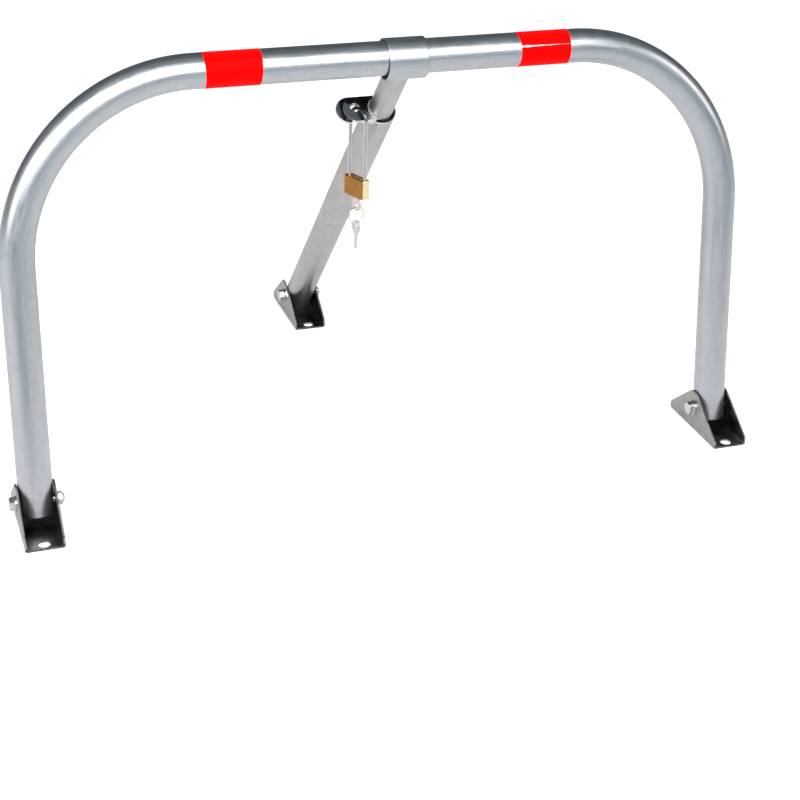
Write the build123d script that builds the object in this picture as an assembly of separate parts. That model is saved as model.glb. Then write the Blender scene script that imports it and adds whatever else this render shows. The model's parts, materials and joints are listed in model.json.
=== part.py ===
"""Folding parking lock: a bent-tube hoop on two foot brackets, held up by a telescopic strut
with a padlock through its lock ear. Millimetres, +X along the hoop's top bar, +Y from the hoop
towards the strut's foot, +Z up. The origin lies on the ground, midway between the anchor holes
of the two hoop feet."""

import os
from math import asin, cos, degrees, radians, sin

from build123d import *

# Hoop
HOOP_SPAN = 760.0          # between the leg centre lines
LEG_LENGTH = 422.0         # foot pivot to the top bar's centre line
TUBE_D = 35.0
TUBE_WALL = 1.5
BEND_RADIUS = 180.0        # at the tube's centre line
LEAN_BACK = 7.0            # degrees past upright, towards the strut
TUBE_BELOW_PIVOT = 11.5
BAND_LENGTH = 56.0
BAND_CENTRE = 162.5        # from the middle of the top bar
BAND_THICKNESS = 0.25

# Foot brackets: bent sheet channels
PIVOT_HEIGHT = 25.0
FOOT_FRONT = 55.0          # pivot to the channel's front end
FOOT_BACK = 50.0           # pivot to the channel's back end
FOOT_END_HEIGHT = 9.0
FOOT_PEAK = 48.6           # where the two sloping edges would meet
FOOT_PEAK_OFFSET = 2.0
FOOT_PEAK_RADIUS = 14.0
FOOT_BEND_RADIUS = 3.0
FOOT_SHEET = 2.0
SIDE_GAP = 0.4             # between a tube and each cheek
OVERCUT = 2.0              # how far a cut runs past the solid
ANCHOR_HOLE_D = 12.0
ANCHOR_SETBACK = 46.0      # anchor hole to pivot

# Pivot bolts, M8
BOLT_D = 8.0
BOLT_FIT = 0.06            # radial clearance in the holes that turn on it
HEX_WIDTH = 13.0
HEX_CHAMFER_RISE = 0.9
HEX_CHAMFER_RUN = 1.2
HEAD_HEIGHT = 5.3
NUT_HEIGHT = 4.5
NUT_COLLAR_HEIGHT = 1.0
NUT_COLLAR_D = 11.0
WASHER_D = 16.0
WASHER_HOLE_D = 8.4
WASHER_THICKNESS = 1.6
THREAD_END = 1.2           # bolt end beyond the nut
END_CHAMFER = 1.0

# Telescopic strut
STRUT_X = 15.0
OUTER_D = 34.0
OUTER_WALL = 1.5
OUTER_BELOW_PIVOT = 12.0
OUTER_MOUTH = 457.0        # from the strut's foot pivot to the tube's mouth
INNER_D = 26.0
INNER_WALL = 1.5
INNER_START = 60.0         # inner tube's low end, from the strut's foot pivot
COLLAR_D = 42.0
COLLAR_BORE = 39.0
COLLAR_LENGTH = 42.0
COLLAR_HANG = 1.9          # the loose collar hangs this far off the bar's centre

# Lock ears: flat plates square to the strut, reaching out on the -X side
EAR_THICKNESS = 3.0
EAR_GAP = 0.3
EAR_ROOT = -2.0            # where a plate ends beside its tube's centre
UPPER_EAR_END = 41.0
UPPER_EAR_FRONT = 13.0
UPPER_EAR_BACK = 16.0
LOWER_EAR_END = 48.0
LOWER_EAR_FRONT = 13.0
LOWER_EAR_BACK = 18.0
EAR_HOLE_D = 10.0
EAR_HOLE_OUT = 28.0        # hole centre from the strut's axis, along -X
EAR_HOLE_BACK = 3.5        # hole centre behind the strut's axis
BEAD_LEG = 2.2             # weld bead's leg length
BEAD_REACH = 0.9           # part of a plate's front edge that its bead covers

# Padlock
SHACKLE_D = 4.0
LEG_SPACING = 25.0
CASE_WIDTH = 31.5
CASE_DEPTH = 9.6
CASE_HEIGHT = 21.5
CASE_DROP = 63.5           # crown centre down to the top of the case
CASE_EDGE = 0.9
LOCK_TURN = 68.0           # the case's width direction, turned from +X towards -Y
CROWN_OUT = 25.0           # crown centre from the strut's axis, along -X
CROWN_BELOW_EAR = 4.2
CROWN_FORWARD = 7.8
SHACKLE_FIT = 0.05         # radial clearance of the legs in the case
TOE_DEPTH = 6.5
TOE_BORE_DEPTH = 9.0
HEEL_DEPTH = 15.0
HEEL_BORE_DEPTH = 16.0
NECK_D = 2.6
NECK_TOP = 3.9             # depth of the heel's neck, below the top of the case
NECK_BOTTOM = 13.6
HEEL_PIN_D = 1.2
HEEL_PIN_DEPTH = 4.9
NOTCH_DEPTH = 0.9
NOTCH_TOP = 2.6
NOTCH_BOTTOM = 5.0

# Cylinder, latch and pins inside the case
PLUG_D = 6.4
PLUG_TOP = 5.5             # below the top of the case
PLUG_FIT = 0.05
KEYWAY_WIDTH = 1.6
KEYWAY_DEPTH = 4.8
KEYWAY_EXTRA = 0.5         # keyway beyond the blade's tip
GROOVE_DEPTH = 0.45
GROOVE_HEIGHT = 1.1
GROOVE_FROM_BOTTOM = 2.0
PLUG_PIN_D = 0.9
LATCH_SIZE = 1.8
LATCH_DEPTH = 3.8          # centre line of the latch below the top of the case
LATCH_BACK = 4.0           # latch's inner end from the case's middle
LATCH_TIP = 9.9            # latch's outer end from the case's middle
LATCH_FIT = 0.06
PIN_D = 1.4
PIN_FIT = 0.05
PIN_DEPTHS = (12.2, 14.6, 17.0)
DRIVER_LENGTH = 1.6
SPRING_WIRE = 0.2
SPRING_PITCH = 0.55
SPRING_LENGTH = 3.1
CHAMBER_END = 9.6          # chamber's outer end from the case's middle
CHAMBER_PLUG = 1.2

# Keys and their ring
BLADE_HEIGHT = 4.3
BLADE_THICKNESS = 1.3
BLADE_LENGTH = 15.2
BOW_WIDTH = 14.0
BOW_HEIGHT = 16.0
BOW_NECK = 2.0
BOW_OVERLAP = 0.5          # the bow's rise into the neck
NECK_WIDTH = 6.4
TIP_CUT = 1.6
NICK_SIZE = 0.7
NICK_OFFSET = 1.2          # each nick above its pin
BOW_HOLE_D = 4.6
BOW_HOLE_DROP = 11.3        # bow hole's centre below the key's shoulder
RING_RADIUS = 10.0
RING_WIRE = 1.1            # wire radius
RING_GAP = 0.1

GROUND_TO_PIVOT = (0, ANCHOR_SETBACK, PIVOT_HEIGHT)
STRUT_FOOT = Vector(STRUT_X, ANCHOR_SETBACK + LEG_LENGTH, PIVOT_HEIGHT)
BAR_POINT = Vector(
    STRUT_X,
    ANCHOR_SETBACK + LEG_LENGTH * sin(radians(LEAN_BACK)),
    PIVOT_HEIGHT + LEG_LENGTH * cos(radians(LEAN_BACK)),
)
STRUT_AXIS = (BAR_POINT - STRUT_FOOT).normalized()
STRUT_LENGTH = (BAR_POINT - STRUT_FOOT).length
LOWER_EAR_BASE = OUTER_MOUTH - EAR_THICKNESS
UPPER_EAR_BASE = OUTER_MOUTH + EAR_GAP


def strut_plane(distance):
    """Plane square to the strut: local x along +X, local y to the back and up, z up the strut."""
    return Plane(STRUT_FOOT + STRUT_AXIS * distance, x_dir=(1, 0, 0), z_dir=STRUT_AXIS)


def hoop_plane():
    """The hoop's own plane: local x along +X, local y up the leaning legs, origin mid-pivot."""
    lean = radians(LEAN_BACK)
    return Plane(GROUND_TO_PIVOT, x_dir=(1, 0, 0), z_dir=(0, -cos(lean), sin(lean)))


def lock_plane():
    """Padlock frame at the crown's centre: x to the front leg, y through the case, z up."""
    crown = strut_plane(UPPER_EAR_BASE - CROWN_BELOW_EAR).from_local_coords(
        Vector(-CROWN_OUT, -CROWN_FORWARD, 0)
    )
    turn = radians(LOCK_TURN)
    return Plane(crown, x_dir=(cos(turn), -sin(turn), 0), z_dir=(0, 0, 1))


def case_plane(depth=0.0):
    """Padlock frame moved down to a depth below the top of the case."""
    plane = lock_plane()
    return Plane(
        plane.origin - Vector(0, 0, CASE_DROP + depth),
        x_dir=plane.x_dir,
        z_dir=(0, 0, 1),
    )


def rod(plane, radius, length):
    """Round bar that grows from the plane along its normal."""
    return extrude(plane * Circle(radius), amount=length)


def along_x(point, radius, length):
    """Round bar centred on the point, lying along +X."""
    return extrude(Plane(point, x_dir=(0, 1, 0), z_dir=(1, 0, 0)) * Circle(radius), length / 2, both=True)


def tube(plane, diameter, wall, length):
    """Round tube that grows from the plane along its normal."""
    return rod(plane, diameter / 2, length) - rod(plane, diameter / 2 - wall, length)


def hoop_sweep(radius):
    """Solid bar of the hoop's shape."""
    half, low = HOOP_SPAN / 2, -TUBE_BELOW_PIVOT
    corners = ((-half, low), (-half, LEG_LENGTH), (half, LEG_LENGTH), (half, low))
    plane = hoop_plane()
    path = plane * FilletPolyline(*corners, radius=BEND_RADIUS)
    start = Plane(path @ 0, z_dir=path % 0)
    return sweep(start * Circle(radius), path=path)


def hoop_tube():
    """Bent hoop tube with a cross hole for the bolt near each end."""
    solid = hoop_sweep(TUBE_D / 2) - hoop_sweep(TUBE_D / 2 - TUBE_WALL)
    for side in (-1, 1):
        point = (side * HOOP_SPAN / 2, ANCHOR_SETBACK, PIVOT_HEIGHT)
        solid -= along_x(point, BOLT_D / 2 + BOLT_FIT, TUBE_D + OVERCUT)
    return solid


def reflective_band(side):
    """Sleeve of reflective tape round the top bar."""
    centre = BAR_POINT + Vector(side * BAND_CENTRE - STRUT_X, 0, 0)
    sleeve = along_x(centre, TUBE_D / 2 + BAND_THICKNESS, BAND_LENGTH)
    return sleeve - along_x(centre, TUBE_D / 2, BAND_LENGTH)


def foot(x, pivot_y, tube_d):
    """Channel bracket: a flat base and two peaked cheeks, holed for pivot and anchor."""
    inner_half = tube_d / 2 + SIDE_GAP
    outer_half = inner_half + FOOT_SHEET
    outline = Polyline(
        (-FOOT_FRONT, 0),
        (-FOOT_FRONT, FOOT_END_HEIGHT),
        (FOOT_PEAK_OFFSET, FOOT_PEAK),
        (FOOT_BACK, FOOT_END_HEIGHT),
        (FOOT_BACK, 0),
        close=True,
    )
    side_view = Plane((x, pivot_y, 0), x_dir=(0, 1, 0), z_dir=(1, 0, 0))
    face = make_face(outline)
    peak = face.vertices().sort_by(Axis.Y)[-1]
    block = extrude(side_view * fillet(peak, FOOT_PEAK_RADIUS), outer_half, both=True)
    block = fillet(block.edges().filter_by(Axis.Y).group_by(Axis.Z)[0], FOOT_BEND_RADIUS)
    length = FOOT_FRONT + FOOT_BACK
    channel = Pos(x, pivot_y + (FOOT_BACK - FOOT_FRONT) / 2, FOOT_SHEET) * Box(
        2 * inner_half, length + OVERCUT, 2 * FOOT_PEAK, align=(Align.CENTER, Align.CENTER, Align.MIN)
    )
    channel = fillet(channel.edges().filter_by(Axis.Y).group_by(Axis.Z)[0], FOOT_BEND_RADIUS - FOOT_SHEET)
    block -= channel
    block -= along_x((x, pivot_y, PIVOT_HEIGHT), BOLT_D / 2 + BOLT_FIT, 4 * outer_half)
    anchor = Plane((x, pivot_y - ANCHOR_SETBACK, 0))
    return block - rod(anchor, ANCHOR_HOLE_D / 2, FOOT_SHEET + OVERCUT)


def pivot_places():
    """Each pivot as its x, y and the outer half width of its bracket."""
    hoop_half = TUBE_D / 2 + SIDE_GAP + FOOT_SHEET
    strut_half = OUTER_D / 2 + SIDE_GAP + FOOT_SHEET
    return (
        (-HOOP_SPAN / 2, ANCHOR_SETBACK, hoop_half),
        (HOOP_SPAN / 2, ANCHOR_SETBACK, hoop_half),
        (STRUT_X, ANCHOR_SETBACK + LEG_LENGTH, strut_half),
    )


def facing(x, y, direction):
    """Plane at pivot height whose normal points along +X or -X."""
    return Plane((x, y, PIVOT_HEIGHT), x_dir=(0, direction, 0), z_dir=(direction, 0, 0))


def hexagon(plane, height):
    """Hexagonal prism with its outer corners turned off."""
    prism = extrude(plane * RegularPolygon(HEX_WIDTH / 2, 6, major_radius=False), height)
    corner = HEX_WIDTH / 2 / cos(radians(30))
    blank = rod(plane, corner, height)
    end = blank.faces().sort_by(Axis(plane.origin, plane.z_dir))[-1]
    blank = chamfer(end.edges(), HEX_CHAMFER_RISE, HEX_CHAMFER_RUN)
    return prism & blank


def pivot_bolt(x, y, half):
    """Hexagon-head bolt, head on the -X side, pointing along +X."""
    head_face = half + WASHER_THICKNESS
    shank = 2 * head_face + NUT_HEIGHT + NUT_COLLAR_HEIGHT + THREAD_END
    shank_rod = rod(facing(x - head_face, y, 1), BOLT_D / 2, shank)
    end = shank_rod.faces().sort_by(Axis.X)[-1]
    shank_rod = chamfer(end.edges(), END_CHAMFER)
    return hexagon(facing(x - head_face, y, -1), HEAD_HEIGHT) + shank_rod


def pivot_nut(x, y, half):
    """Locking nut with a round collar."""
    plane = facing(x + half + WASHER_THICKNESS, y, 1)
    nut = hexagon(plane, NUT_HEIGHT)
    nut += rod(plane, NUT_COLLAR_D / 2, NUT_HEIGHT + NUT_COLLAR_HEIGHT)
    return nut - rod(plane, BOLT_D / 2 + BOLT_FIT, NUT_HEIGHT + NUT_COLLAR_HEIGHT)


def pivot_washers(x, y, half):
    """The two flat washers of one pivot."""
    pair = []
    for direction in (-1, 1):
        plane = facing(x + direction * half, y, direction)
        disc = rod(plane, WASHER_D / 2, WASHER_THICKNESS)
        pair.append(disc - rod(plane, WASHER_HOLE_D / 2, WASHER_THICKNESS))
    return pair


def collar_centre():
    """Centre of the collar, which hangs a little off the bar along the strut."""
    return BAR_POINT - STRUT_AXIS * COLLAR_HANG


def collar():
    """Short sleeve that turns loosely round the top bar."""
    centre = collar_centre()
    return along_x(centre, COLLAR_D / 2, COLLAR_LENGTH) - along_x(centre, COLLAR_BORE / 2, COLLAR_LENGTH)


def inner_tube():
    """Sliding tube, its top end coped to sit on the collar."""
    length = STRUT_LENGTH - COLLAR_HANG - INNER_START
    return tube(strut_plane(INNER_START), INNER_D, INNER_WALL, length) - along_x(
        collar_centre(), COLLAR_D / 2, COLLAR_LENGTH + INNER_D
    )


def collar_weld():
    """Saddle-shaped bead where the inner tube meets the collar."""
    base = strut_plane(STRUT_LENGTH - COLLAR_D)
    sleeve = tube(base, INNER_D + 2 * BEAD_LEG, BEAD_LEG, COLLAR_D - COLLAR_HANG)
    centre = collar_centre()
    shell = along_x(centre, COLLAR_D / 2 + BEAD_LEG, COLLAR_LENGTH) - along_x(
        centre, COLLAR_D / 2, COLLAR_LENGTH + OVERCUT
    )
    return sleeve & shell


def ear(base, end, front, back, tube_radius):
    """Flat tongue with a round end, notched to fit its tube and holed for the shackle."""
    half = (front + back) / 2
    middle = (back - front) / 2
    round_x = half - end
    sketch = Pos((round_x + EAR_ROOT) / 2, middle) * Rectangle(EAR_ROOT - round_x, 2 * half)
    sketch += Pos(round_x, middle) * Circle(half)
    sketch -= Circle(tube_radius)
    sketch -= Pos(-EAR_HOLE_OUT, EAR_HOLE_BACK) * Circle(EAR_HOLE_D / 2)
    return extrude(strut_plane(base) * sketch, EAR_THICKNESS)


def upper_ear():
    """Plate welded to the inner tube, resting just above the outer tube's mouth."""
    return ear(UPPER_EAR_BASE, UPPER_EAR_END, UPPER_EAR_FRONT, UPPER_EAR_BACK, INNER_D / 2)


def lower_ear():
    """Plate welded to the outer tube; its hole is open to the front edge."""
    plate = ear(LOWER_EAR_BASE, LOWER_EAR_END, LOWER_EAR_FRONT, LOWER_EAR_BACK, OUTER_D / 2)
    reach = EAR_HOLE_BACK + LOWER_EAR_FRONT + OVERCUT
    slot = Pos(-EAR_HOLE_OUT, EAR_HOLE_BACK - reach / 2) * Rectangle(EAR_HOLE_D, reach)
    return plate - extrude(strut_plane(LOWER_EAR_BASE) * slot, EAR_THICKNESS)


def ear_weld(base, tube_radius, front, direction):
    """Fillet bead along the joint of a plate and its tube, above (1) or below (-1) the plate."""
    spread = 2 * degrees(asin(front / tube_radius * BEAD_REACH))
    tip = direction * BEAD_LEG
    section = Plane.XZ * make_face(
        Polyline((tube_radius, 0), (tube_radius + BEAD_LEG, 0), (tube_radius, tip), close=True)
    )
    bead = revolve(section, Axis.Z, spread)
    return strut_plane(base) * Rot(Z=180 - spread / 2) * bead


def shackle():
    """Bent rod: long heel leg with a neck, short toe leg with a latch notch."""
    plane = lock_plane()
    half = LEG_SPACING / 2
    toe_end, heel_end = -(CASE_DROP + TOE_DEPTH), -(CASE_DROP + HEEL_DEPTH)
    upright = Plane(plane.origin, x_dir=plane.x_dir, z_dir=-plane.y_dir)
    path = upright * (
        Line((-half, toe_end), (-half, 0))
        + ThreePointArc((-half, 0), (0, half), (half, 0))
        + Line((half, 0), (half, heel_end))
    )
    start = Plane(upright.from_local_coords(Vector(-half, toe_end, 0)), z_dir=(0, 0, 1))
    solid = sweep(start * Circle(SHACKLE_D / 2), path=path)
    neck = case_plane(NECK_BOTTOM)
    ring = Pos(half, 0) * (Circle(SHACKLE_D) - Circle(NECK_D / 2))
    solid -= extrude(neck * ring, NECK_BOTTOM - NECK_TOP)
    notch_x = -half + SHACKLE_D / 2 - NOTCH_DEPTH
    notch = Pos(notch_x + NOTCH_DEPTH, 0) * Rectangle(2 * NOTCH_DEPTH, 2 * SHACKLE_D)
    return solid - extrude(case_plane(NOTCH_BOTTOM) * notch, NOTCH_BOTTOM - NOTCH_TOP)


def across(depth, x):
    """Plane through the case's middle, normal along the case's depth direction."""
    plane = case_plane(depth)
    point = plane.from_local_coords(Vector(x, 0, 0))
    return Plane(point, x_dir=plane.x_dir, z_dir=plane.y_dir)


def sideways(depth, x):
    """Plane square to the case's width direction, its normal towards the toe side."""
    plane = case_plane(depth)
    point = plane.from_local_coords(Vector(x, 0, 0))
    return Plane(point, x_dir=plane.y_dir, z_dir=-plane.x_dir)


def latch_section(size):
    """Square section of the latch or of its channel."""
    return sideways(LATCH_DEPTH, -LATCH_BACK) * Rectangle(size, size)


def padlock_case():
    """Brass block bored for the legs, cylinder, latch, pins and retaining pins."""
    block = extrude(case_plane(CASE_HEIGHT) * Rectangle(CASE_WIDTH, CASE_DEPTH), CASE_HEIGHT)
    block = fillet(block.edges(), CASE_EDGE)
    half = LEG_SPACING / 2
    bore = Circle(SHACKLE_D / 2 + SHACKLE_FIT)
    block -= extrude(case_plane(TOE_BORE_DEPTH) * Pos(-half, 0) * bore, TOE_BORE_DEPTH)
    block -= extrude(case_plane(HEEL_BORE_DEPTH) * Pos(half, 0) * bore, HEEL_BORE_DEPTH)
    block -= rod(case_plane(CASE_HEIGHT), PLUG_D / 2 + PLUG_FIT, CASE_HEIGHT - PLUG_TOP)
    block -= extrude(latch_section(LATCH_SIZE + 2 * LATCH_FIT), half - LATCH_BACK)
    for depth in PIN_DEPTHS:
        block -= rod(sideways(depth, 0), PIN_D / 2 + PIN_FIT, CHAMBER_END)
    for pin in (heel_pin(), plug_pin()):
        block -= pin
    return block


def heel_pin():
    """Cross pin beside the heel's neck; it stops the shackle from being pulled out."""
    x = LEG_SPACING / 2 - NECK_D / 2 - HEEL_PIN_D / 2 - PLUG_FIT
    return extrude(across(HEEL_PIN_DEPTH, x) * Circle(HEEL_PIN_D / 2), CASE_DEPTH / 2, both=True)


def plug_pin():
    """Cross pin in the cylinder's groove; it keeps the cylinder in the case."""
    x = PLUG_D / 2 - GROOVE_DEPTH + PLUG_PIN_D / 2 + PLUG_FIT
    depth = CASE_HEIGHT - GROOVE_FROM_BOTTOM - GROOVE_HEIGHT / 2
    return extrude(across(depth, x) * Circle(PLUG_PIN_D / 2), CASE_DEPTH / 2, both=True)


def plug():
    """Cylinder with a keyway, three pin holes and a retaining groove."""
    body = rod(case_plane(CASE_HEIGHT), PLUG_D / 2, CASE_HEIGHT - PLUG_TOP - PLUG_FIT)
    keyway = Rectangle(KEYWAY_DEPTH, KEYWAY_WIDTH)
    body -= extrude(case_plane(CASE_HEIGHT) * keyway, BLADE_LENGTH + KEYWAY_EXTRA)
    ring = Circle(PLUG_D) - Circle(PLUG_D / 2 - GROOVE_DEPTH)
    groove_base = CASE_HEIGHT - GROOVE_FROM_BOTTOM
    body -= extrude(case_plane(groove_base) * ring, GROOVE_HEIGHT)
    for depth in PIN_DEPTHS:
        body -= rod(sideways(depth, 0), PIN_D / 2 + PIN_FIT, PLUG_D)
    return body


def latch():
    """Square latch bar that slides towards the toe's notch."""
    return extrude(latch_section(LATCH_SIZE), LATCH_TIP - LATCH_BACK)


def key_pins():
    """Short pins between the blade and the cylinder's surface."""
    start = BLADE_HEIGHT / 2 + PIN_FIT
    return [rod(sideways(d, -start), PIN_D / 2, PLUG_D / 2 - start - PIN_FIT) for d in PIN_DEPTHS]


def driver_pins():
    """Driver pins just outside the cylinder."""
    start = PLUG_D / 2 + PLUG_FIT
    return [rod(sideways(d, -start), PIN_D / 2, DRIVER_LENGTH) for d in PIN_DEPTHS]


def pin_springs():
    """Coil springs behind the driver pins."""
    start = PLUG_D / 2 + PLUG_FIT + DRIVER_LENGTH + SPRING_WIRE / 2
    coil = PIN_D / 2 - SPRING_WIRE
    springs = []
    for depth in PIN_DEPTHS:
        plane = sideways(depth, -start)
        path = plane * Helix(pitch=SPRING_PITCH, height=SPRING_LENGTH, radius=coil)
        section = Plane(path @ 0, z_dir=path % 0) * Circle(SPRING_WIRE / 2)
        springs.append(sweep(section, path=path))
    return springs


def chamber_plugs():
    """Little caps that close the outer ends of the pin chambers."""
    start = CHAMBER_END - CHAMBER_PLUG
    return [rod(sideways(d, -start), PIN_D / 2 + PIN_FIT, CHAMBER_PLUG) for d in PIN_DEPTHS]


def key_shape(plane):
    """Key in the plane's own frame: blade up along +y, bow hanging down, flat in x-y."""
    bow = Pos(0, BOW_OVERLAP - BOW_NECK - BOW_HEIGHT / 2) * Ellipse(BOW_WIDTH / 2, BOW_HEIGHT / 2)
    neck = Pos(0, -BOW_NECK / 2 - BOW_OVERLAP) * Rectangle(NECK_WIDTH, BOW_NECK + 2 * BOW_OVERLAP)
    blade = Pos(0, BLADE_LENGTH / 2) * Rectangle(BLADE_HEIGHT, BLADE_LENGTH)
    tip = Pos(BLADE_HEIGHT / 2, BLADE_LENGTH) * Rot(Z=45) * Rectangle(TIP_CUT, TIP_CUT)
    outline = bow + neck + blade - tip
    outline -= Pos(0, -BOW_HOLE_DROP) * Circle(BOW_HOLE_D / 2)
    for depth in PIN_DEPTHS:
        nick = Pos(-BLADE_HEIGHT / 2, CASE_HEIGHT - depth + NICK_OFFSET) * Rot(Z=45)
        outline -= nick * Rectangle(NICK_SIZE, NICK_SIZE)
    return extrude(plane * outline, BLADE_THICKNESS / 2, both=True)


def key_plane():
    """Frame of the key in the cylinder: origin at the case's bottom, y up, x to the front leg."""
    plane = case_plane(CASE_HEIGHT)
    return Plane(plane.origin, x_dir=plane.x_dir, z_dir=-plane.y_dir)


def ring_centre():
    """Centre of the split ring, hanging from the bow's hole."""
    hang = BOW_HOLE_DROP + BOW_HOLE_D / 2 - RING_WIRE - RING_GAP
    return key_plane().from_local_coords(Vector(0, -hang - RING_RADIUS, 0))


def key_ring():
    """Round ring that hangs through both keys' bows, square to the first key."""
    plane = key_plane()
    ring_plane = Plane(ring_centre(), x_dir=(0, 0, 1), z_dir=plane.x_dir)
    return ring_plane * Torus(RING_RADIUS, RING_WIRE)


def spare_key():
    """Second key, hanging blade down from the ring."""
    first = key_plane()
    drop = RING_RADIUS + BOW_HOLE_D / 2 - RING_WIRE - RING_GAP
    shoulder = ring_centre() - Vector(0, 0, drop + BOW_HOLE_DROP)
    return key_shape(Plane(shoulder, x_dir=first.x_dir, z_dir=-first.z_dir))


def group(solids):
    """Several separate solids as one node."""
    return Compound(children=list(solids))


def all_parts():
    """Every node's name and shape."""
    places = pivot_places()
    hoop_foot_y, strut_foot_y = places[0][1], places[2][1]
    return {
        "hoop_foot_left": foot(-HOOP_SPAN / 2, hoop_foot_y, TUBE_D),
        "hoop_foot_right": foot(HOOP_SPAN / 2, hoop_foot_y, TUBE_D),
        "strut_foot": foot(STRUT_X, strut_foot_y, OUTER_D),
        "pivot_bolts": group(pivot_bolt(*place) for place in places),
        "pivot_nuts": group(pivot_nut(*place) for place in places),
        "pivot_washers": group(disc for place in places for disc in pivot_washers(*place)),
        "hoop_tube": hoop_tube(),
        "reflective_band_left": reflective_band(-1),
        "reflective_band_right": reflective_band(1),
        "bar_collar": collar(),
        "inner_strut_tube": inner_tube(),
        "collar_weld": collar_weld(),
        "upper_lock_ear": upper_ear(),
        "upper_ear_weld": ear_weld(UPPER_EAR_BASE + EAR_THICKNESS, INNER_D / 2, UPPER_EAR_FRONT, 1),
        "outer_strut_tube": tube(
            strut_plane(-OUTER_BELOW_PIVOT), OUTER_D, OUTER_WALL, OUTER_BELOW_PIVOT + OUTER_MOUTH
        )
        - along_x(STRUT_FOOT, BOLT_D / 2 + BOLT_FIT, OUTER_D + OVERCUT),
        "lower_lock_ear": lower_ear(),
        "lower_ear_weld": ear_weld(LOWER_EAR_BASE, OUTER_D / 2, LOWER_EAR_FRONT, -1),
        "padlock_shackle": shackle(),
        "padlock_case": padlock_case(),
        "heel_retaining_pin": heel_pin(),
        "cylinder_retaining_pin": plug_pin(),
        "padlock_latch": latch(),
        "padlock_cylinder": plug(),
        "key_pins": group(key_pins()),
        "driver_pins": group(driver_pins()),
        "pin_springs": group(pin_springs()),
        "chamber_plugs": group(chamber_plugs()),
        "padlock_key": key_shape(key_plane()),
        "key_ring": key_ring(),
        "spare_key": spare_key(),
    }


def main():
    """Write one STEP file for each node."""
    os.makedirs("parts", exist_ok=True)
    for name, shape in all_parts().items():
        export_step(shape, f"parts/{name}.step")


main()
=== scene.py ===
"""Looks of the folding parking lock: smooth tubes, rolled threads, welds, tape, brass and keys
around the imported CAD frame. Metres, +X along the top bar, +Y to the strut's foot, +Z up."""

import json
from math import cos, pi, radians, sin, sqrt, tau

import bmesh
import bpy
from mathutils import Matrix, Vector, noise


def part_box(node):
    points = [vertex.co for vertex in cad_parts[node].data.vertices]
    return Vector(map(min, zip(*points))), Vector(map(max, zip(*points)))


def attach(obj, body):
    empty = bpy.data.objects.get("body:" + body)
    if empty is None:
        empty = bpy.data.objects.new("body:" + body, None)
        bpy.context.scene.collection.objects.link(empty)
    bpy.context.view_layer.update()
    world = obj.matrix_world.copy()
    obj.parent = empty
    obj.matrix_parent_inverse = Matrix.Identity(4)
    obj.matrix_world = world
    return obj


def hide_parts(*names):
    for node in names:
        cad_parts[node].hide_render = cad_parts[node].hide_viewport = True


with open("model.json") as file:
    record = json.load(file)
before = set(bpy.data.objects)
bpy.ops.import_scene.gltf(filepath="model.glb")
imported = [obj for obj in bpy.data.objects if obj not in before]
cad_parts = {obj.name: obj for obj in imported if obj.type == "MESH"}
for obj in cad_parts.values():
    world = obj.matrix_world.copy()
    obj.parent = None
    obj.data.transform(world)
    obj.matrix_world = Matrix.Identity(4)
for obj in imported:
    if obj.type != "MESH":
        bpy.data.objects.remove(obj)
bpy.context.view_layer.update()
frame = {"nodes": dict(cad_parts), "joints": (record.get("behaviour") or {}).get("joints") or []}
MM = 0.001
X, Y, Z = Vector((1, 0, 0)), Vector((0, 1, 0)), Vector((0, 0, 1))


# ---------------------------------------------------------------- places, from the frame
def joint(name):
    """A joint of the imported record."""
    return next(j for j in frame["joints"] if j["name"] == name)


def middle(node):
    """Centre of a CAD node's box."""
    low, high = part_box(node)
    return (low + high) / 2


HOOP_PIVOT = Vector(joint("hoop_fold")["pos_m"])
BAR = Vector(joint("collar_turn")["pos_m"])
STRUT_FOOT = Vector(joint("strut_foot_turn")["pos_m"])
STRUT_AXIS = (BAR - STRUT_FOOT).normalized()
STRUT_BACK = STRUT_AXIS.cross(X)
BAR_MIDDLE = BAR - X * BAR.x
LEG_UP = (BAR_MIDDLE - HOOP_PIVOT).normalized()
LEG_LENGTH = (BAR_MIDDLE - HOOP_PIVOT).length
HOOP_FRONT = X.cross(LEG_UP)
TUBE_R = 17.5 * MM
HALF_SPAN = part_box("hoop_tube")[1].x - TUBE_R
BEND_R = 180 * MM
WALL = 1.5 * MM
HOOP_BELOW_PIVOT = 11.5 * MM
OUTER_R, OUTER_BELOW_PIVOT, OUTER_MOUTH = 17 * MM, 12 * MM, 457 * MM
INNER_R, INNER_START = 13 * MM, 60 * MM
COLLAR_R = 21 * MM
COLLAR_CENTRE = middle("bar_collar")
COLLAR_ALONG = (COLLAR_CENTRE - STRUT_FOOT).dot(STRUT_AXIS)
COLLAR_HALF = (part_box("bar_collar")[1].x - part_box("bar_collar")[0].x) / 2
BOLT_R, BOLT_CLEARANCE = 4 * MM, 0.06 * MM
BORE_R = BOLT_R + BOLT_CLEARANCE
THREAD_PITCH, THREAD_DEPTH = 1.25 * MM, 0.55 * MM
HEX_HALF = 6.5 * MM
HEAD_HEIGHT = 5.3 * MM
NUT_HEIGHT, NUT_COLLAR_HEIGHT, NUT_COLLAR_R = 4.5 * MM, 1.0 * MM, 5.5 * MM
THREAD_END = 1.2 * MM
WASHER_R, WASHER_HOLE_R, WASHER_THICKNESS = 8 * MM, 4.2 * MM, 1.6 * MM
FEET = {"hoop_foot_left": HOOP_PIVOT.y, "hoop_foot_right": HOOP_PIVOT.y, "strut_foot": STRUT_FOOT.y}
# Out of the narrow ends of the padlock's case, and from the shackle's middle up to its crown.
CASE_END = Vector(joint("key_ring_swing")["axis"]).cross(Z)
CROWN = (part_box("padlock_shackle")[1].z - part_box("padlock_shackle")[0].z) / 2


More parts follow.
